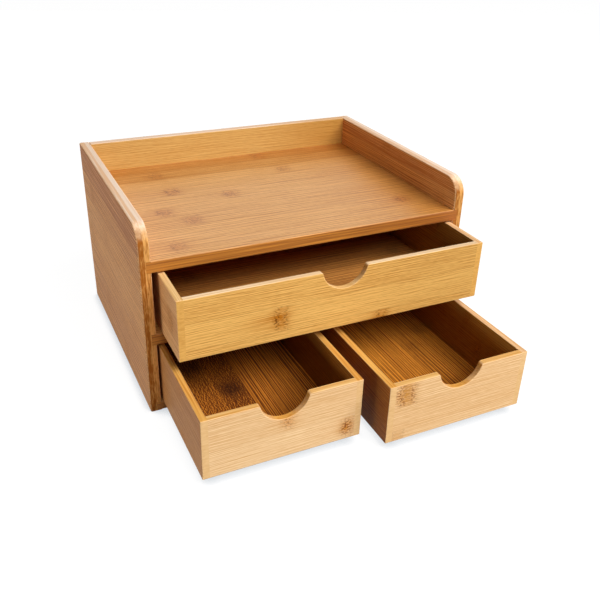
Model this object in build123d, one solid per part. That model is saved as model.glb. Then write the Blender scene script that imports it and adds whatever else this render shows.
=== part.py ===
from build123d import *

import os

# Desk-top drawer case of laminated bamboo: a wide drawer above two half-width ones, under a
# shelf with a raised rim. Millimetres, +Z up. The origin is the middle of the case's
# underside. X runs across the width, and the drawers slide out towards -Y. Each drawer
# stands partly open.

# ---- Case ----------------------------------------------------------------------------------
CASE_WIDTH = 330.0
CASE_DEPTH = 247.5
SIDE_THICKNESS = 10.7
BACK_THICKNESS = 9.2
SHELF_THICKNESS = 11.2  # top and middle shelf
BOTTOM_THICKNESS = 9.0
DIVIDER_THICKNESS = 10.5
LOWER_BAY_HEIGHT = 62.6
UPPER_BAY_HEIGHT = 60.6
RIM_HEIGHT = 31.9  # sides and back board above the top shelf
SIDE_CORNER_RADIUS = 18.0  # front top corner of each side board
HOUSING_DEPTH = 4.5  # how far a board's end is let into the board that holds it
SIDE_EASE = 1.5  # rounding of the sides' edges
SHELF_EASE = 1.0  # rounding of the other case boards' exposed edges

# ---- Drawers -------------------------------------------------------------------------------
DRAWER_SIDE_THICKNESS = 6.3
DRAWER_FRONT_THICKNESS = 5.9
DRAWER_BACK_THICKNESS = 5.9
DRAWER_FLOOR_THICKNESS = 3.0
FLOOR_RAISE = 3.0  # drawer floor's underside above the drawer's lower edge
GROOVE_DEPTH = 3.0  # how far the drawer floor is let into the four walls
NOTCH_RADIUS = 22.5  # round cutter of the finger notch
NOTCH_DEPTH = 19.0
NOTCH_LIP_RADIUS = 2.5  # where the notch runs out into the front's top edge
DRAWER_EASE = 0.8  # rounding of the drawer boards' exposed edges

# ---- Fit of the drawers in their bays --------------------------------------------------------
RUNNING_GAP = 0.3  # under each drawer
UPPER_HEADROOM = 1.8
LOWER_HEADROOM = 3.0
UPPER_SIDE_GAP = 3.0
LOWER_SIDE_GAP = 1.8
REAR_GAP = 3.0  # behind a drawer that is pushed home
UPPER_DRAWER_SHIFT = 2.4  # the wide drawer stands this far right of the middle of its bay
UPPER_NOTCH_SHIFT = 2.8  # and its notch this far right of the drawer's own middle
UPPER_OPENING = 51.4
LOWER_LEFT_OPENING = 114.8
LOWER_RIGHT_OPENING = 135.0

# No edge is rounded by more than this share of the board's thickness.
EASE_LIMIT = 0.3

# ---- Levels and faces that several boards share ----------------------------------------------
LOWER_FLOOR_Z = BOTTOM_THICKNESS
MIDDLE_SHELF_Z = LOWER_FLOOR_Z + LOWER_BAY_HEIGHT
UPPER_FLOOR_Z = MIDDLE_SHELF_Z + SHELF_THICKNESS
TOP_SHELF_Z = UPPER_FLOOR_Z + UPPER_BAY_HEIGHT
TRAY_Z = TOP_SHELF_Z + SHELF_THICKNESS
CASE_HEIGHT = TRAY_Z + RIM_HEIGHT

FRONT_Y = -CASE_DEPTH / 2
REAR_Y = CASE_DEPTH / 2
BACK_BOARD_Y = REAR_Y - BACK_THICKNESS
INNER_WIDTH = CASE_WIDTH - 2 * SIDE_THICKNESS
LOWER_BAY_WIDTH = (INNER_WIDTH - DIVIDER_THICKNESS) / 2
DRAWER_LENGTH = BACK_BOARD_Y - REAR_GAP - FRONT_Y


def block(x, y, z):
    """A plain board between its low and high limits along each axis."""
    corner = Pos(x[0], y[0], z[0])
    return corner * Box(x[1] - x[0], y[1] - y[0], z[1] - z[0], align=Align.MIN)


def ease(edges, radius, thickness):
    """Round these edges of a board that is this thick."""
    return fillet(edges, min(radius, EASE_LIMIT * thickness))


def middle(centre, width):
    """The low and high limits of a width about its centre."""
    return centre - width / 2, centre + width / 2


# ---- Case boards -----------------------------------------------------------------------------
def shelf_block(z, thickness):
    """A board across the case, its ends let into the sides and its rear against the back."""
    x = middle(0, INNER_WIDTH + 2 * HOUSING_DEPTH)
    return block(x, (FRONT_Y, BACK_BOARD_Y), (z, z + thickness))


def shelf(z, thickness, housed=None):
    """That board, rounded in front between the sides, with a housing for one that meets it."""
    plain = shelf_block(z, thickness)
    front_edges = plain.edges().filter_by(Axis.X).group_by(Axis.Y)[0]
    rounded = ease(front_edges, SHELF_EASE, thickness)
    between_sides = block(middle(0, INNER_WIDTH), (FRONT_Y, BACK_BOARD_Y), (z, z + thickness))
    board = rounded + (plain - between_sides)
    return board - housed if housed else board


def divider_block():
    """The upright between the lower bays, housed in the bottom board and the middle shelf."""
    z = (LOWER_FLOOR_Z - HOUSING_DEPTH, MIDDLE_SHELF_Z + HOUSING_DEPTH)
    return block(middle(0, DIVIDER_THICKNESS), (FRONT_Y, BACK_BOARD_Y), z)


def divider():
    plain = divider_block()
    front_edges = plain.edges().filter_by(Axis.Z).group_by(Axis.Y)[0]
    return ease(front_edges, SHELF_EASE, DIVIDER_THICKNESS)


def back_board():
    """The full-height back, between the sides and flush with their tops."""
    plain = block(middle(0, INNER_WIDTH), (BACK_BOARD_Y, REAR_Y), (0, CASE_HEIGHT))
    top_edges = plain.edges().filter_by(Axis.X).group_by(Axis.Z)[-1]
    return ease(top_edges, SHELF_EASE, BACK_THICKNESS)


def side_board(inner_x):
    """A full-height side whose inner face lies at inner_x, housed for the three shelves."""
    outline = Plane.YZ * Pos(0, CASE_HEIGHT / 2) * Rectangle(CASE_DEPTH, CASE_HEIGHT)
    top_corners = outline.vertices().group_by(Axis.Z)[-1]
    outline = fillet(top_corners.sort_by(Axis.Y)[0], SIDE_CORNER_RADIUS)
    outward = 1 if inner_x > 0 else -1
    plain = Pos(inner_x, 0, 0) * extrude(outline, outward * SIDE_THICKNESS)
    rim_edges = plain.edges() - plain.edges().filter_by(Axis.X)
    board = ease(rim_edges, SIDE_EASE, SIDE_THICKNESS)
    for z, thickness in (
        (0, BOTTOM_THICKNESS),
        (MIDDLE_SHELF_Z, SHELF_THICKNESS),
        (TOP_SHELF_Z, SHELF_THICKNESS),
    ):
        board -= shelf_block(z, thickness)
    return board


def case():
    """The seven boards of the case, by name."""
    return {
        "side_left": side_board(-INNER_WIDTH / 2),
        "side_right": side_board(INNER_WIDTH / 2),
        "back_board": back_board(),
        "top_shelf": shelf(TOP_SHELF_Z, SHELF_THICKNESS),
        "middle_shelf": shelf(MIDDLE_SHELF_Z, SHELF_THICKNESS, divider_block()),
        "bottom_board": shelf(0, BOTTOM_THICKNESS, divider_block()),
        "divider": divider(),
    }


# ---- Drawer boards ---------------------------------------------------------------------------
def notched_front(x, y, z, notch_x):
    """The front between its limits, with a round finger notch in its top edge at notch_x."""
    board_face = Pos((x[0] + x[1]) / 2, (z[0] + z[1]) / 2) * Rectangle(x[1] - x[0], z[1] - z[0])
    cutter = Pos(notch_x, z[1] - NOTCH_DEPTH + NOTCH_RADIUS) * Circle(NOTCH_RADIUS)
    outline = board_face - cutter
    notch_lips = outline.vertices().group_by(Axis.Y)[-1].sort_by(Axis.X)[1:-1]
    outline = fillet(notch_lips, NOTCH_LIP_RADIUS)
    inner_face = Plane(origin=(0, y[1], 0), x_dir=(1, 0, 0), z_dir=(0, -1, 0))
    return extrude(inner_face * outline, y[1] - y[0])


def glued_walls(boards):
    """The four walls glued up as one box, its edges rounded except in the inner corners."""
    walls = boards["left_side"] + boards["right_side"] + boards["front"] + boards["back"]
    upright = walls.edges().filter_by(Axis.Z).group_by(Axis.X)
    inner_corners = ShapeList(edge for group in upright[1:-1] for edge in group)
    across_notch = walls.edges().filter_by(Axis.Y).group_by(SortBy.LENGTH)[0]
    rounded = walls.edges() - inner_corners - across_notch
    thinnest = min(DRAWER_SIDE_THICKNESS, DRAWER_FRONT_THICKNESS, DRAWER_BACK_THICKNESS)
    return ease(rounded, DRAWER_EASE, thinnest)


def drawer(name, centre_x, width, z, opening, notch_shift=0.0):
    """The five boards of one drawer, by name: two sides, front, back and a grooved-in floor."""
    outer = middle(centre_x, width)
    inner = middle(centre_x, width - 2 * DRAWER_SIDE_THICKNESS)
    front_y = FRONT_Y - opening
    rear_y = front_y + DRAWER_LENGTH
    inside_y = (front_y + DRAWER_FRONT_THICKNESS, rear_y - DRAWER_BACK_THICKNESS)

    floor_z = z[0] + FLOOR_RAISE
    floor = block(
        (inner[0] - GROOVE_DEPTH, inner[1] + GROOVE_DEPTH),
        (inside_y[0] - GROOVE_DEPTH, inside_y[1] + GROOVE_DEPTH),
        (floor_z, floor_z + DRAWER_FLOOR_THICKNESS),
    )
    plain = {
        "left_side": block((outer[0], inner[0]), (front_y, rear_y), z),
        "right_side": block((inner[1], outer[1]), (front_y, rear_y), z),
        "front": notched_front(inner, (front_y, inside_y[0]), z, centre_x + notch_shift),
        "back": block(inner, (inside_y[1], rear_y), z),
    }
    walls = glued_walls(plain) - floor
    boards = {f"{name}_{wall}": walls & board for wall, board in plain.items()}
    boards[f"{name}_floor"] = floor
    return boards


def drawers():
    """The boards of the three drawers, each sized from its bay."""
    upper_z = (UPPER_FLOOR_Z + RUNNING_GAP, TOP_SHELF_Z - UPPER_HEADROOM)
    lower_z = (LOWER_FLOOR_Z + RUNNING_GAP, MIDDLE_SHELF_Z - LOWER_HEADROOM)
    upper_width = INNER_WIDTH - 2 * UPPER_SIDE_GAP
    lower_width = LOWER_BAY_WIDTH - 2 * LOWER_SIDE_GAP
    lower_x = (DIVIDER_THICKNESS + LOWER_BAY_WIDTH) / 2
    upper = (UPPER_DRAWER_SHIFT, upper_width, upper_z, UPPER_OPENING, UPPER_NOTCH_SHIFT)
    return {
        **drawer("upper_drawer", *upper),
        **drawer("lower_left_drawer", -lower_x, lower_width, lower_z, LOWER_LEFT_OPENING),
        **drawer("lower_right_drawer", lower_x, lower_width, lower_z, LOWER_RIGHT_OPENING),
    }


os.makedirs("parts", exist_ok=True)
for node, solid in {**case(), **drawers()}.items():
    export_step(solid, f"parts/{node}.step")
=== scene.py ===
import math
import random
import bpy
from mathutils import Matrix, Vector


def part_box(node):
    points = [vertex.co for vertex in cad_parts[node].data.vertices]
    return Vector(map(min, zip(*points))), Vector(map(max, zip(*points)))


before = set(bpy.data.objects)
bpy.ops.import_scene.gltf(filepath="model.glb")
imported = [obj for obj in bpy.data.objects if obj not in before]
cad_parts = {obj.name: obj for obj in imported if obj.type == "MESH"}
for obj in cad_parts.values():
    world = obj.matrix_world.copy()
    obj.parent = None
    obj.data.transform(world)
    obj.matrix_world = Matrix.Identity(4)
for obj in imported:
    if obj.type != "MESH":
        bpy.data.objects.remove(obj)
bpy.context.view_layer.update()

from types import SimpleNamespace

import bpy
from mathutils import Matrix, Vector

MM = 0.001
AXES = "XYZ"

# ---- Camera -----------------------------------------------------------------------------------
# Solved from the corners of the boards in the 600-pixel photograph.
PHOTO_SIZE = 600
FOCAL_LENGTH_PX = 731.1
PRINCIPAL_POINT_PX = (298.4, 284.0)
CAMERA_AZIMUTH = math.radians(-25.80)
CAMERA_ELEVATION = math.radians(28.07)
CAMERA_ROLL = math.radians(1.667)
CAMERA_TARGET = Vector((43.8, 0.0, 32.1)) * MM
CAMERA_DISTANCE = 846.4 * MM
SENSOR_WIDTH = 36.0


def make_camera():
    """The photograph's camera: it looks at the target and is rolled about its line of sight."""
    level = math.cos(CAMERA_ELEVATION)
    back = Vector(
        (
            math.sin(CAMERA_AZIMUTH) * level,
            -math.cos(CAMERA_AZIMUTH) * level,
            math.sin(CAMERA_ELEVATION),
        )
    )
    right = (-back).cross(Vector((0, 0, 1))).normalized()
    up = right.cross(-back)
    cos_roll, sin_roll = math.cos(CAMERA_ROLL), math.sin(CAMERA_ROLL)
    rolled_right = cos_roll * right + sin_roll * up
    rolled_up = cos_roll * up - sin_roll * right

    data = bpy.data.cameras.new("camera")
    data.sensor_width = SENSOR_WIDTH
    data.lens = FOCAL_LENGTH_PX * SENSOR_WIDTH / PHOTO_SIZE
    data.shift_x = 0.5 - PRINCIPAL_POINT_PX[0] / PHOTO_SIZE
    data.shift_y = PRINCIPAL_POINT_PX[1] / PHOTO_SIZE - 0.5
    data.clip_start = 0.01
    data.clip_end = 50.0
    camera = bpy.data.objects.new("camera", data)
    bpy.context.scene.collection.objects.link(camera)
    turn = Matrix((rolled_right, rolled_up, back)).transposed().to_4x4()
    camera.matrix_world = Matrix.Translation(CAMERA_TARGET + back * CAMERA_DISTANCE) @ turn
    bpy.context.scene.camera = camera


# ---- Shader wiring ----------------------------------------------------------------------------
class Wiring:
    """The nodes of one material or world, wired by short calls. A value is a number or a socket."""

    def __init__(self, tree):
        self.tree = tree
        tree.nodes.clear()

    def node(self, kind, settings=None, **inputs):
        made = self.tree.nodes.new(kind)
        for key, value in (settings or {}).items():
            setattr(made, key, value)
        for key, value in inputs.items():
            self.feed(made.inputs[key.replace("_", " ")], value)
        return made

    def feed(self, socket, value):
        if isinstance(value, bpy.types.NodeSocket):
            self.tree.links.new(value, socket)
        elif value is not None:
            socket.default_value = value

    def math(self, operation, a, b=None, clamp=False):
        made = self.node("ShaderNodeMath", {"operation": operation, "use_clamp": clamp})
        self.feed(made.inputs[0], a)
        self.feed(made.inputs[1], b)
        return made.outputs[0]

    def add(self, a, b):
        return self.math("ADD", a, b)

    def subtract(self, a, b):
        return self.math("SUBTRACT", a, b)

    def multiply(self, a, b):
        return self.math("MULTIPLY", a, b)

    def step(self, value, low, high, out_low=0.0, out_high=1.0):
        """A smooth step of value from low to high, or down where low is the higher of the two."""
        made = self.node("ShaderNodeMapRange", {"interpolation_type": "SMOOTHSTEP"})
        for socket, given in zip(made.inputs, (value, low, high, out_low, out_high)):
            self.feed(socket, given)
        return made.outputs[0]

    def bell(self, distance, width):
        """1 at distance 0, falling smoothly to almost nothing at twice the width."""
        ratio = self.math("DIVIDE", distance, width)
        return self.math("EXPONENT", self.multiply(self.multiply(ratio, ratio), -1.0))

    def noise(self, vector, detail=2.0, roughness=0.5):
        """Noise with features about one unit of the vector across."""
        made = self.node("ShaderNodeTexNoise", {"noise_dimensions": "3D"}, Vector=vector, Scale=1.0)
        self.feed(made.inputs["Detail"], detail)
        self.feed(made.inputs["Roughness"], roughness)
        return made.outputs[0]

    def combine(self, x, y, z):
        return self.node("ShaderNodeCombineXYZ", X=x, Y=y, Z=z).outputs[0]

    def mix(self, factor, a, b, blend="MIX"):
        """Colours a and b, mixed or blended by factor."""
        made = self.node("ShaderNodeMix", {"data_type": "RGBA", "blend_type": blend})
        self.feed(made.inputs["Factor"], factor)
        self.feed(made.inputs[6], a)
        self.feed(made.inputs[7], b)
        return made.outputs[2]

    def steps(self, position, rows):
        """One of the triples of numbers, by which equal share of 0 to 1 the position lies in."""
        made = self.node("ShaderNodeValToRGB")
        ramp = made.color_ramp
        ramp.interpolation = "CONSTANT"
        while len(ramp.elements) < len(rows):
            ramp.elements.new(1.0)
        for index, row in enumerate(rows):
            ramp.elements[index].position = index / len(rows)
            ramp.elements[index].color = (*row, 1.0)
        self.feed(made.inputs[0], position)
        return made.outputs[0]


def rgb(*levels):
    """A linear colour with alpha, from screen levels of 0 to 255."""
    shares = [level / 255 for level in levels]
    linear = [s / 12.92 if s <= 0.04045 else ((s + 0.055) / 1.055) ** 2.4 for s in shares]
    return (*linear, 1.0)


# ---- Bamboo: places and strips ----------------------------------------------------------------
# Lengths are in mm. The two numbers of a STEP are where a value starts and ends to take effect.
FACING_STEP = (0.45, 0.9)  # of a normal's share along an axis, for the faces that lie across it
ROUNDING_STEP = (0.98, 0.85)  # of a normal's greatest share, for the rounded edges
PLY_SHIFT = 1.37  # strips by which each ply is set off from the one below it
SLIVER = 0.01  # share of a strip that doesn't count as one more
TONE_RANGE = (0.35, 0.65)  # of the strips that aren't given
KNUCKLE_RANGE = (0.3, 0.7)  # how strong their knuckles are
PLY_NUMBERS = (3, 90)  # sets the strips of one board apart from those of another
STRIP_JUMP = 900.0  # strips come from places up to this far apart along the culm


def grain_axes(look):
    """The numbers of the axes along the grain, across it and through the board."""
    return [AXES.index(axis) for axis in look["axes"]]


def board_place(w, look, low):
    """A point's place along the grain, across it and through the board, and which of the board's
    faces it is on."""
    coordinates = w.node("ShaderNodeTexCoord").outputs
    place = w.node("ShaderNodeVectorMath", {"operation": "SCALE"}, Scale=1 / MM)
    w.feed(place.inputs[0], coordinates["Object"])
    xyz = w.node("ShaderNodeSeparateXYZ", Vector=place.outputs[0]).outputs
    facing = w.node("ShaderNodeSeparateXYZ", Vector=coordinates["Normal"]).outputs
    share = [w.math("ABSOLUTE", part) for part in facing]
    squarest = w.math("MAXIMUM", w.math("MAXIMUM", share[0], share[1]), share[2])
    along, across, through = grain_axes(look)
    depth = w.subtract(xyz[through], low[through])
    return SimpleNamespace(
        point=(xyz[along], xyz[across], depth),
        along=xyz[along],
        across=xyz[across],
        depth=depth,
        on_end=w.step(share[along], *FACING_STEP),
        on_edge=w.step(share[across], *FACING_STEP),
        on_shade_and_tone_face=w.step(w.multiply(facing[through], look["shade_and_tone_way"]), *FACING_STEP),
        on_rounding=w.step(squarest, *ROUNDING_STEP),
    )


def strip_rows(w, look, place, low, high, rng):
    """Strips side by side in each ply: the place in its strip, a number that only it has, its tone,
    and where its knuckle lies and how strong it is."""
    along, across, through = grain_axes(look)
    reach = high[along] - low[along]
    count = math.ceil((high[across] - look["first"]) / look["width"] - SLIVER)
    strips = list(look["strips"])
    while len(strips) < count:
        tone = rng.uniform(*TONE_RANGE)
        knuckle = rng.uniform(low[along], high[along])
        strips.append((tone, knuckle, rng.uniform(*KNUCKLE_RANGE)))

    plies = look["plies"]
    ply = w.math("FLOOR", w.multiply(place.depth, plies / (high[through] - low[through])))
    ply = w.math("MINIMUM", w.math("MAXIMUM", ply, 0.0), plies - 1.0)
    strip = w.multiply(w.subtract(place.across, look["first"]), 1 / look["width"])
    strip = w.add(strip, w.multiply(ply, PLY_SHIFT))
    rows = w.steps(
        w.math("FRACT", w.multiply(strip, 1 / count)),
        [(tone, (knuckle - low[along]) / reach, strength) for tone, knuckle, strength in strips[:count]],
    )
    tone, knuckle, strength = w.node("ShaderNodeSeparateColor", Color=rows).outputs
    number = w.combine(w.math("FLOOR", strip), w.add(ply, rng.uniform(*PLY_NUMBERS)), 0.0)
    return SimpleNamespace(
        place=w.math("FRACT", strip),
        own=w.node("ShaderNodeTexWhiteNoise", {"noise_dimensions": "2D"}, Vector=number).outputs[0],
        tone=tone,
        knuckle=w.add(w.multiply(knuckle, reach), low[along]),
        strength=strength,
        ply_tone=w.add(w.multiply(w.subtract(ply, plies / 2 - 0.5), look["ply_contrast"]), 0.5),
    )


# ---- Bamboo: fibres and knuckles --------------------------------------------------------------
# A SIZE is a feature's length along the grain and its width across it.
WANDER_SIZE = (70.0, 16.0)
CLOUD_SIZE = (80.0, 9.0)
STREAK_SIZE = (110.0, 1.6)
VESSEL_SIZE = (400.0, 1.1)
DASH_SIZE = (9.0, 0.9)
PORE_SIZE = (8.0, 0.8)
GRIT_SIZE = (2.6, 0.9)
MOTTLE_SIZE = (4.0, 1.6)
MOTTLE_STEP = (0.25, 0.6)
MOTTLE_LEAST = 0.3
FLECK_SIZE = (2.6, 1.5)
FLECK_STEP = (0.47, 0.6)
SECOND_ROW = 0.7  # strength of a knuckle's second row of flecks against its first
KNUCKLE_BOW = 12.0  # times the square of the place in its strip, from the middle
RAGGED_WIDTH = 2.5
RAGGED_REACH = 6.0
FLAME_PLACE = 14.0  # before the knuckle
FLAME_LENGTH = 20.0
FLAME_STEP = (0.45, 0.62)
GLUE_WIDTH = 0.4  # on each side of the joint between two strips


def stretched(w, point, sizes):
    """A point along, across and through the grain, scaled so that each size is one unit."""
    return w.combine(*[w.multiply(part, 1 / size) for part, size in zip(point, sizes)])


def drawn_noise(w, point, size, detail=2.0, roughness=0.6):
    """Noise with features of this length along the grain and width across it."""
    length, width = size
    return w.noise(stretched(w, point, (length, width, width)), detail, roughness)


def fine_lines(w, point, size):
    """Lines of this length along the grain and width across it, about a middle of 0.5. They are
    the change of a noise from one line to the next, so no broad patch is among them."""
    along, across, depth = point
    here = drawn_noise(w, point, size, detail=0.0)
    beside = drawn_noise(w, (along, w.add(across, size[1]), depth), size, detail=0.0)
    return w.add(w.subtract(here, beside), 0.5)


def fibre_layers(w, look, place, strip):
    """The layers of the grain, each about a middle of 0.5. The fibres wander slowly, and each
    strip's are its own."""
    along = w.add(place.along, w.multiply(strip.own, STRIP_JUMP))
    wander = drawn_noise(w, (along, place.across, place.depth), WANDER_SIZE, detail=1.0)
    fibre = w.add(place.across, w.multiply(w.subtract(wander, 0.5), look["wander"]))
    point = (along, fibre, place.depth)
    # Strips with knuckles can be speckled instead of lined.
    fine = fine_lines(w, point, look["fine_size"])
    grit = fine_lines(w, point, GRIT_SIZE)
    speckled = w.multiply(strip.strength, look["speckled"])
    return SimpleNamespace(
        cloud=drawn_noise(w, point, CLOUD_SIZE, roughness=0.5),
        streak=drawn_noise(w, point, STREAK_SIZE),
        fine=fine,
        grain=w.add(fine, w.multiply(w.subtract(grit, fine), speckled)),
        vessel=drawn_noise(w, point, VESSEL_SIZE, detail=1.0),
        dash=drawn_noise(w, point, DASH_SIZE, detail=1.0),
        pore=drawn_noise(w, point, PORE_SIZE, detail=1.0),
    )


def knuckles(w, look, place, strip, streak):
    """How strongly a knuckle, where the culm was divided, stains a point, and how darkly it flecks
    it. It is a smudge with two ragged rows of flecks, and flames along the fibres on one side."""
    from_middle = w.subtract(strip.place, 0.5)
    bow = w.multiply(w.multiply(from_middle, from_middle), KNUCKLE_BOW)
    ragged = w.noise(w.combine(w.multiply(place.across, 1 / RAGGED_WIDTH), strip.own, 0.0))
    ragged = w.multiply(w.subtract(ragged, 0.5), RAGGED_REACH)
    away = w.add(w.subtract(w.subtract(place.along, strip.knuckle), bow), ragged)
    strength = w.multiply(strip.strength, w.bell(from_middle, look["knuckle_height"] / look["width"]))

    mottle = drawn_noise(w, place.point, MOTTLE_SIZE)
    smudge = w.multiply(w.bell(away, look["knuckle_length"]), w.step(mottle, *MOTTLE_STEP, MOTTLE_LEAST))
    flame = w.multiply(w.bell(w.add(away, FLAME_PLACE), FLAME_LENGTH), w.step(streak, *FLAME_STEP))
    stain = w.add(w.multiply(smudge, look["smudge"]), w.multiply(flame, look["flame"]))

    apart, spread = look["knuckle_rows"]
    first_row = w.bell(w.add(away, apart), spread)
    second_row = w.multiply(w.bell(w.subtract(away, apart), spread), SECOND_ROW)
    fleck = drawn_noise(w, place.point, FLECK_SIZE, detail=1.0)
    flecks = w.multiply(w.step(fleck, *FLECK_STEP), w.add(first_row, second_row))
    return w.multiply(stain, strength), w.multiply(flecks, strength)


def glue_lines(w, look, strip):
    """A hairline of glue between strips."""
    from_middle = w.math("ABSOLUTE", w.subtract(strip.place, 0.5))
    return w.step(from_middle, 0.5 - GLUE_WIDTH / look["width"], 0.5)


# ---- Bamboo: colour and finish ----------------------------------------------------------------
VESSEL_STEP = (0.47, 0.36)
DASH_STEP = (0.55, 0.7)
SILL_DEPTHS = (0.5, 3.0)  # below a board's top edge, where the sill's tone starts and is whole
TIP_DEPTH = 6.0
END_STRIP_SHARE = 0.6  # how much of a strip's tone its sawn end shows
RUB_SIZE = (7.0, 3.0)
RUB_STEP = (0.3, 0.7)
RUB_LEAST = 0.4
RELIEF_HEIGHT = 0.15
STREAK_RISE = 0.6
FINE_RISE = 0.4
FLECK_SINK = 0.6
GLUE_SINK = 0.8
ROUGH_STEP = (0.2, 0.8)
ROUGH_CHANGE = 0.06  # up and down, from streak to streak
SAWN_ROUGHNESS = 0.25  # on top of the lacquer's


def blend(w, terms, light, deep):
    """A colour between light and deep, by the sum of values about their middle times their shares."""
    value = 0.5
    for noise, share in terms:
        value = w.add(w.multiply(w.subtract(noise, 0.5), share), value)
    return w.mix(w.math("ADD", value, 0.0, clamp=True), deep, light)


def flat_colour(w, look, strip, fibres, stain, flecks, glue):
    """The broad faces, where the fibres lie flat."""
    layers = [
        (strip.tone, 1.0), (fibres.cloud, look["cloud"]), (fibres.streak, look["streak"]),
        (fibres.grain, look["fine"]), (fibres.pore, look["pore"]),
    ]
    colour = blend(w, layers, look["light"], look["deep"])
    colour = w.mix(w.multiply(w.step(fibres.vessel, *VESSEL_STEP), look["lines"]), colour, look["deep"])
    colour = w.mix(w.multiply(w.step(fibres.dash, *DASH_STEP), look["dashes"]), colour, look["dot"])
    colour = w.mix(stain, colour, look["knuckle"])
    colour = w.mix(flecks, colour, look["dot"])
    return w.mix(w.multiply(glue, look["seam"]), colour, look["dot"])


def edge_colour(w, look, place, strip, fibres, top):
    """The faces sawn along the grain, which show the plies and the sides of the fibres."""
    layers = [(strip.ply_tone, 1.0), (fibres.streak, look["edge_streak"]), (fibres.fine, 1.0)]
    colour = blend(w, layers, look["edge_light"], look["edge_deep"])
    start, whole = (top - depth for depth in SILL_DEPTHS)
    return w.mix(w.step(place.across, start, whole), colour, look["sill"], "MULTIPLY")


def end_colour(w, look, place, strip):
    """The faces sawn across the grain, which show the plies and the cut tips of the fibres."""
    tips = w.noise(stretched(w, place.point, (TIP_DEPTH, *look["tip_size"])), roughness=0.6)
    layers = [(strip.ply_tone, 1.0), (strip.tone, END_STRIP_SHARE), (tips, look["tips"])]
    return blend(w, layers, look["end_light"], look["end_deep"])


def rubbing_and_highlight(w, look, place):
    """How far the rounded edges are made pale, more in some patches than in others: partly rubbed wear,
    partly painted highlight.
    """
    rubbed_and_highlit = w.step(drawn_noise(w, place.point, RUB_SIZE), *RUB_STEP, RUB_LEAST)
    return w.multiply(w.multiply(place.on_rounding, rubbed_and_highlit), look["wear_and_highlight"])


def finish(w, look, place, fibres, flecks, glue):
    """The normal and the roughness of a lacquer that follows the fibres, duller where it is sawn."""
    relief = w.add(w.multiply(fibres.streak, STREAK_RISE), w.multiply(fibres.fine, FINE_RISE))
    relief = w.subtract(w.subtract(relief, w.multiply(flecks, FLECK_SINK)), w.multiply(glue, GLUE_SINK))
    bump = w.node("ShaderNodeBump", Strength=look["relief"], Distance=RELIEF_HEIGHT * MM, Height=relief)
    dullest, glossiest = look["rough"] + ROUGH_CHANGE, look["rough"] - ROUGH_CHANGE
    rough = w.step(fibres.streak, *ROUGH_STEP, dullest, glossiest)
    sawn = w.math("MAXIMUM", w.add(place.on_edge, place.on_end), place.on_rounding)
    return bump.outputs[0], w.add(rough, w.multiply(sawn, SAWN_ROUGHNESS))


def bamboo(name, look, low, high):
    """Laminated bamboo for a board between two corners, in mm."""
    material = bpy.data.materials.new(name)
    material.use_nodes = True
    w = Wiring(material.node_tree)
    place = board_place(w, look, low)
    strip = strip_rows(w, look, place, low, high, random.Random(name))
    fibres = fibre_layers(w, look, place, strip)
    stain, flecks = knuckles(w, look, place, strip, fibres.streak)
    glue = glue_lines(w, look, strip)

    colour = flat_colour(w, look, strip, fibres, stain, flecks, glue)
    # Painted shade on the drawer walls' inside faces; a tint on the back board's rear.
    colour = w.mix(place.on_shade_and_tone_face, colour, look["face_shade_and_tone"], "MULTIPLY")
    top = high[grain_axes(look)[1]]
    colour = w.mix(place.on_edge, colour, edge_colour(w, look, place, strip, fibres, top))
    colour = w.mix(place.on_end, colour, end_colour(w, look, place, strip))
    # Darker toward one end: painted shade on the top shelf and the back board, and a slight darkening
    # over the upper drawer front's right half.
    if "darkened_end" in look:
        start, whole, tone = look["darkened_end"]
        colour = w.mix(w.step(place.along, start, whole), colour, tone, "MULTIPLY")
    # Pale rounded edges: partly wear, partly painted highlight.
    colour = w.mix(rubbing_and_highlight(w, look, place), colour, look["rubbed_and_highlit"])

    normal, rough = finish(w, look, place, fibres, flecks, glue)
    shader = w.node("ShaderNodeBsdfPrincipled", Base_Color=colour, Normal=normal, Roughness=rough)
    w.feed(shader.inputs["IOR"], look["ior"])
    w.feed(w.node("ShaderNodeOutputMaterial").inputs["Surface"], shader.outputs[0])
    return material


# ---- Looks ------------------------------------------------------------------------------------
def plain(tone):
    """A strip of this tone without a knuckle."""
    return tone, 0.0, 0.0


# A board's look says how its wood is coloured and how its strips lie. "axes" are those along the
# grain, across it and through the board, and "first" is where the first strip starts across it.
GOLDEN = {
    # The broad faces at their palest and darkest, and a colour multiplied over the face that looks
    # the given way, 1 or -1 along the axis through the board: painted shade, turned olive, on the
    # drawers' inside faces, and a tint on the back board's rear. Then a knuckle's stain and its flecks.
    "light": rgb(242, 190, 106), "deep": rgb(188, 124, 48),
    "face_shade_and_tone": rgb(205, 200, 140), "shade_and_tone_way": 0.0,
    "knuckle": rgb(188, 114, 28), "dot": rgb(100, 54, 12),
    # Faces sawn along the grain, and a tone for what lies below the top one. Faces sawn across
    # it, with the contrast of the fibres' tips and their size up and through the board.
    "edge_light": rgb(244, 210, 164), "edge_deep": rgb(220, 174, 120), "edge_streak": 2.6,
    "sill": rgb(255, 255, 255),
    "end_light": rgb(238, 186, 102), "end_deep": rgb(206, 146, 68),
    "tips": 3.0, "tip_size": (1.5, 6.0),
    # Strips: their width, how many plies of them, and each one's tone, the place of its knuckle
    # along the grain and how strong that is. The strips that aren't given are drawn at random.
    "width": 26.0, "strips": [], "plies": 1, "ply_contrast": 0.5, "seam": 0.25,
    # The grain: how far the fibres wander, each layer's share, and the size of the fine lines.
    "wander": 0.9, "cloud": 0.5, "streak": 0.2, "pore": 0.7, "lines": 0.12, "dashes": 0.12,
    "fine": 1.2, "fine_size": (40.0, 0.85), "speckled": 0.0,
    # Knuckles: the smudge, and how far the rows of flecks lie from its middle and spread.
    "smudge": 0.85, "knuckle_length": 9.0, "knuckle_height": 12.0, "knuckle_rows": (4.2, 2.6),
    "flame": 0.6,
    # Pale rounded edges, partly wear and partly painted highlight, and lacquer.
    "rubbed_and_highlit": rgb(246, 214, 170), "wear_and_highlight": 0.3, "rough": 0.45, "relief": 0.35, "ior": 1.4,
}
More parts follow.
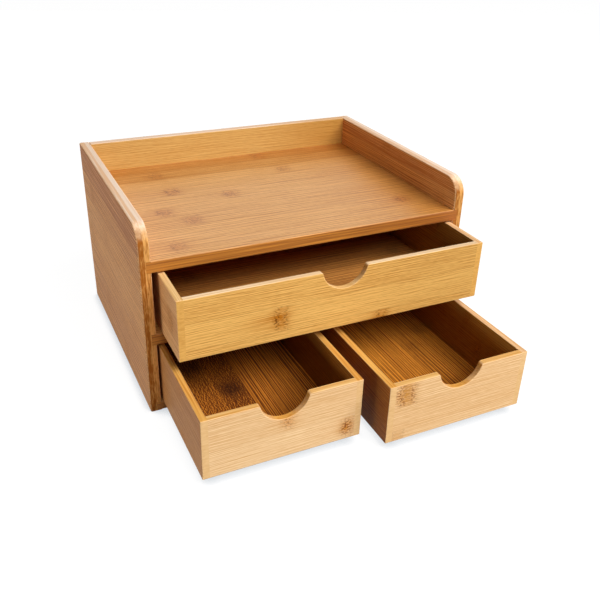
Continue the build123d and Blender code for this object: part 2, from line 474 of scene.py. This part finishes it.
PALE = GOLDEN | {
    "light": rgb(253, 216, 166), "deep": rgb(218, 162, 98),
    "knuckle": rgb(208, 132, 38), "dot": rgb(140, 74, 22),
    "edge_light": rgb(230, 186, 118), "edge_deep": rgb(208, 150, 76),
    "end_light": rgb(248, 208, 152), "end_deep": rgb(224, 174, 112),
    "cloud": 0.35, "streak": 0.15, "lines": 0.1, "dashes": 0.06, "seam": 0.12,
    "fine": 1.05, "fine_size": (50.0, 0.85),
    "knuckle_length": 8.0, "knuckle_height": 8.5, "knuckle_rows": (2.5, 3.6), "flame": 0.3,
}
CASE_SIDE = GOLDEN | {
    "axes": "YZX",
    "light": rgb(238, 174, 104), "deep": rgb(166, 98, 42),
    # Pale pinkish edges: partly the side grain's own colour, partly painted sheen on the top edges.
    "edge_light": rgb(246, 220, 196), "edge_deep": rgb(232, 188, 148),
    "end_light": rgb(224, 162, 88), "end_deep": rgb(158, 90, 26), "tip_size": (9.0, 1.3),
    "width": 27.0, "plies": 2, "ply_contrast": 0.7,
    "wander": 1.4, "cloud": 0.3, "streak": 0.1, "pore": 0.5, "lines": 0.1,
    "fine": 2.1, "fine_size": (90.0, 1.0),
    "wear_and_highlight": 0.4, "rough": 0.55, "ior": 1.22,
}
SHELF = GOLDEN | {
    "axes": "XYZ",
    "light": rgb(236, 180, 110), "deep": rgb(176, 108, 34),
    "knuckle": rgb(178, 104, 40), "dot": rgb(126, 62, 20),
    "edge_light": rgb(204, 130, 42), "edge_deep": rgb(146, 82, 18), "edge_streak": 0.8,
    "cloud": 0.3, "fine": 2.0, "fine_size": (45.0, 0.9),
    "smudge": 0.55, "flame": 0.4,
    "knuckle_length": 10.0, "knuckle_height": 10.0, "knuckle_rows": (4.5, 4.0),
    "rubbed_and_highlit": rgb(238, 180, 118), "rough": 0.36, "relief": 0.12, "ior": 1.5,
}
DRAWER_FRONT = {
    "axes": "XZY", "shade_and_tone_way": 1.0,
    "end_light": rgb(218, 160, 80), "end_deep": rgb(176, 112, 42), "tip_size": (1.3, 1.3),
    "sill": rgb(240, 220, 175),
}
DRAWER_SIDE = {
    "axes": "YZX",
    "light": rgb(230, 172, 112), "deep": rgb(176, 110, 58),
    "edge_light": rgb(232, 178, 92), "edge_deep": rgb(200, 130, 50),
    "tips": 1.2, "fine_size": (50.0, 0.85),
}
DRAWER_FLOOR = GOLDEN | {
    "first": -203.0, "width": 25.0,
    "light": rgb(222, 148, 58), "deep": rgb(118, 60, 16),
    "knuckle": rgb(60, 26, 6), "dot": rgb(44, 18, 4),
    "wander": 0.5, "cloud": 0.25, "streak": 0.1,
    "fine": 2.4, "fine_size": (120.0, 1.0),
    "rough": 0.6, "ior": 1.3,
}
# A darkened end: where along the grain the darkening starts and is whole, and the colour multiplied
# over it. The one below is painted shade of the case's right side, toward the right ends of the top
# shelf and the back board.
RIGHT_END_PAINTED_SHADE = (20.0, 155.0, rgb(236, 220, 188))


def case_looks():
    """The looks of the case's seven boards."""
    return {
        "top_shelf": SHELF | {
            "first": -143.0, "darkened_end": RIGHT_END_PAINTED_SHADE,
            # The last strip, next to the back board, is the darkest: partly its own tone, partly painted
            # shadow of the back board.
            "strips": [
                plain(0.56), (0.58, -125, 0.7), (0.62, 122, 0.9), (0.54, -94, 0.9), (0.62, -115, 0.8),
                (0.66, -37, 0.9), (0.6, -92, 1.0), (0.66, 45, 0.6), (0.25, -95, 0.8), (0.0, 35, 1.0),
            ],
        },
        "middle_shelf": SHELF | {"first": -130.0},
        "bottom_board": SHELF | {"first": -130.0},
        "back_board": GOLDEN | {
            "axes": "XZY", "first": 4.0, "darkened_end": RIGHT_END_PAINTED_SHADE,
            "light": rgb(216, 174, 102), "deep": rgb(186, 134, 62), "streak": 0.3,
            # Pale top edge like the case sides': partly own colour, partly painted sheen.
            "edge_light": CASE_SIDE["edge_light"], "edge_deep": CASE_SIDE["edge_deep"],
            "shade_and_tone_way": 1.0, "face_shade_and_tone": rgb(255, 240, 218),  # its rear
            "strips": [
                (0.4, -70, 0.5), (0.62, 105, 0.6), (0.44, 15, 0.4), (0.58, -115, 0.6), (0.42, 60, 0.4),
                plain(0.5), plain(0.55), plain(0.7),
            ],
        },
        "side_left": CASE_SIDE | {
            "first": -2.0,
            "strips": [
                (0.4, -36, 0.5), (0.38, 40, 0.3), (0.52, -80, 0.2), (0.65, 100, 0.3), (0.6, 20, 0.2),
                (0.42, 75, 0.6), (0.05, 60, 0.3),
            ],
        },
        "side_right": CASE_SIDE | {
            "first": 10.0, "light": rgb(254, 196, 124), "deep": rgb(196, 124, 64), "fine": 1.5,
            "strips": [
                (0.5, 30, 0.3), (0.42, -70, 0.4), (0.58, 90, 0.2), (0.46, -20, 0.3), (0.55, 60, 0.4),
                (0.62, -100, 0.2), (0.15, 10, 0.3),
            ],
        },
        "divider": GOLDEN | {"axes": "YZX", "first": 0.0},
    }


def drawer_looks(drawer, wood, floor_axes, own):
    """The looks of a drawer's five boards, of which some have values of their own. The walls'
    faces inside the drawer get painted shade."""
    wall = wood | {"first": 0.0, "width": 25.0, "rough": 0.55, "ior": 1.22}
    looks = {
        "front": wall | DRAWER_FRONT,
        "left_side": wall | DRAWER_SIDE | {"shade_and_tone_way": 1.0},
        "right_side": wall | DRAWER_SIDE | {"shade_and_tone_way": -1.0},
        "back": wall | {"axes": "XZY", "shade_and_tone_way": -1.0},
        "floor": DRAWER_FLOOR | {"axes": floor_axes},
    }
    return {f"{drawer}_{board}": look | own.get(board, {}) for board, look in looks.items()}


# Pale edges: partly own colour, partly painted sheen on the drawers' top edges.
PALE_EDGE_AND_SHEEN = {"edge_light": rgb(236, 194, 144), "edge_deep": rgb(208, 154, 100)}

UPPER_DRAWER = {
    "front": {
        "first": 67.0, "strips": [(0.66, 45, 1.0), (0.8, -57, 1.0), plain(0.62)],
        # Pale top edge: partly own colour, partly painted sheen.
        "edge_light": rgb(250, 220, 180), "edge_deep": rgb(230, 188, 138),
        # Slightly darker over its right half.
        "darkened_end": (-20.0, 140.0, rgb(240, 238, 234)),
    },
    "left_side": {
        "light": rgb(248, 192, 128), "deep": rgb(196, 130, 76),
        # Pale top edge: partly own colour, partly painted sheen.
        "edge_light": rgb(240, 200, 140), "edge_deep": rgb(216, 162, 94),
    },
    "right_side": PALE_EDGE_AND_SHEEN,
    "floor": {"light": rgb(214, 148, 72), "deep": rgb(128, 74, 30), "fine": 1.8},
}
LOWER_LEFT_DRAWER = {
    "front": {"first": 10.0, "strips": [(0.68, -21, 1.0), (0.55, -77, 0.6), plain(0.5)]},
    "left_side": {"light": rgb(216, 158, 96), "deep": rgb(162, 98, 48)},
    # Darker, as painted shade of the gap between the lower drawers.
    "right_side": {"light": rgb(206, 146, 86), "deep": rgb(150, 88, 40)},
    "floor": {
        "light": rgb(202, 124, 40), "deep": rgb(94, 40, 6), "fine": 3.0, "speckled": 0.8,
        "knuckle_length": 14.0, "smudge": 1.0,
        "strips": [
            plain(0.5), plain(0.5), (0.42, -60, 0.9), (0.32, -90, 0.8), (0.14, -138, 1.0),
            plain(0.5), plain(0.56), plain(0.44),
        ],
    },
}
LOWER_RIGHT_DRAWER = {
    "front": {
        "first": -5.0, "strips": [(0.5, 17, 0.4), plain(0.45), (0.5, 24, 1.0)],
        "knuckle": rgb(200, 134, 48), "knuckle_height": 18.0, "knuckle_rows": (6.0, 4.0),
    },
    # Darker and deeper, as painted shade of the gap between the lower drawers.
    "left_side": {"light": rgb(190, 124, 54), "deep": rgb(126, 66, 18)},
    "right_side": PALE_EDGE_AND_SHEEN,
    "floor": {"light": rgb(218, 140, 46), "deep": rgb(122, 64, 12)},
}


def dress_boards():
    """Every board gets a material of its own, named after it."""
    looks = (
        case_looks()
        | drawer_looks("upper_drawer", GOLDEN, "XYZ", UPPER_DRAWER)
        | drawer_looks("lower_left_drawer", PALE, "YXZ", LOWER_LEFT_DRAWER)
        | drawer_looks("lower_right_drawer", PALE, "YXZ", LOWER_RIGHT_DRAWER)
    )
    for node, look in looks.items():
        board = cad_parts[node]
        low, high = (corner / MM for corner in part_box(node))
        board.data.materials.clear()
        board.data.materials.append(bamboo(f"bamboo_{node}", look, low, high))


# ---- Stage ------------------------------------------------------------------------------------
AMBIENT = 0.015  # level of the light that the white surroundings give
FLOOR_SIZE = 12.0
FLOOR_BOUNCE = 0.25  # how much of the light the floor gives back to the object
FLOOR_SHADE = 0.1  # how much of the lamps' light, and so of the shadows, it shows
FLOOR_SAMPLES = 8
SHADE_REACH = 16 * MM
OPEN_STEP = (0.42, 0.78)  # of the share of open sky, from the painted shadow's glow to the open one
PAINTED_SHADOW_GLOW = (0.62, 0.65, 0.68, 1.0)  # painted contact shadow: what the floor shows of itself where it is most covered
OPEN_GLOW = (0.97, 0.97, 0.97, 1.0)
# Each lamp: the direction it stands in, its distance, width and height in metres, and the level
# at which it lights a white surface that faces it.
LAMPS = {
    "key": ((0.45, -0.85, 1.0), 3.2, 3.2, 1.4, 1.47),
    "left_fill": ((-1.0, 0.05, 0.075), 2.4, 1.6, 0.3, 0.36),
    "front_fill": ((0.1, -1.0, 0.12), 2.4, 1.6, 0.4, 0.05),
    "rear_fill": ((0.3, 1.0, 0.06), 2.4, 1.6, 0.3, 0.55),
}


def seen_directly(w):
    """1 for what the camera, a gloss or a clear surface shows, and 0 for light that it gives."""
    path = w.node("ShaderNodeLightPath").outputs
    shown = w.math("MAXIMUM", path["Is Camera Ray"], path["Is Glossy Ray"])
    return w.math("MAXIMUM", shown, path["Is Transmission Ray"])


def make_world():
    """White surroundings that give only a little light."""
    world = bpy.data.worlds.new("studio")
    world.use_nodes = True
    bpy.context.scene.world = world
    w = Wiring(world.node_tree)
    strength = w.add(w.multiply(seen_directly(w), 1.0 - AMBIENT), AMBIENT)
    background = w.node("ShaderNodeBackground", Color=(1, 1, 1, 1), Strength=strength)
    w.feed(w.node("ShaderNodeOutputWorld").inputs["Surface"], background.outputs[0])


def grey(w, level):
    """A dull surface of this grey."""
    return w.node("ShaderNodeBsdfDiffuse", Color=(level, level, level, 1)).outputs[0]


def make_floor():
    """A white sweep whose glow has a painted contact shadow, only close to what stands on it or just
    above it.
    """
    bpy.ops.mesh.primitive_plane_add(size=FLOOR_SIZE, location=(0, 0, 0))
    floor = bpy.context.object
    floor.name = "floor"
    material = bpy.data.materials.new("white_sweep")
    material.use_nodes = True
    w = Wiring(material.node_tree)
    # Painted contact shadow: the floor's glow dims where it is covered.
    cover = w.node("ShaderNodeAmbientOcclusion", {"samples": FLOOR_SAMPLES}, Distance=SHADE_REACH)
    glow_with_painted_shadow = w.mix(w.step(cover.outputs["AO"], *OPEN_STEP), PAINTED_SHADOW_GLOW, OPEN_GLOW)
    shown = w.node("ShaderNodeAddShader")
    w.feed(shown.inputs[0], grey(w, FLOOR_SHADE))
    w.feed(shown.inputs[1], w.node("ShaderNodeEmission", Color=glow_with_painted_shadow, Strength=1.0).outputs[0])
    either = w.node("ShaderNodeMixShader")
    w.feed(either.inputs[0], seen_directly(w))
    w.feed(either.inputs[1], grey(w, FLOOR_BOUNCE))
    w.feed(either.inputs[2], shown.outputs[0])
    w.feed(w.node("ShaderNodeOutputMaterial").inputs["Surface"], either.outputs[0])
    floor.data.materials.append(material)


def make_lamps():
    """Broad lamps that face the object."""
    for name, (direction, distance, width, height, level) in LAMPS.items():
        data = bpy.data.lights.new(name, "AREA")
        data.shape = "RECTANGLE"
        data.size = width
        data.size_y = height
        # White that faces a far lamp shines with its power over the square of pi times the distance.
        data.energy = (math.pi * distance) ** 2 * level
        lamp = bpy.data.objects.new(name, data)
        towards = Vector(direction).normalized()
        lamp.location = towards * distance
        lamp.rotation_euler = towards.to_track_quat("Z", "Y").to_euler()
        bpy.context.scene.collection.objects.link(lamp)


bpy.context.scene.view_settings.view_transform = "Standard"
make_camera()
make_world()
make_floor()
make_lamps()
dress_boards()
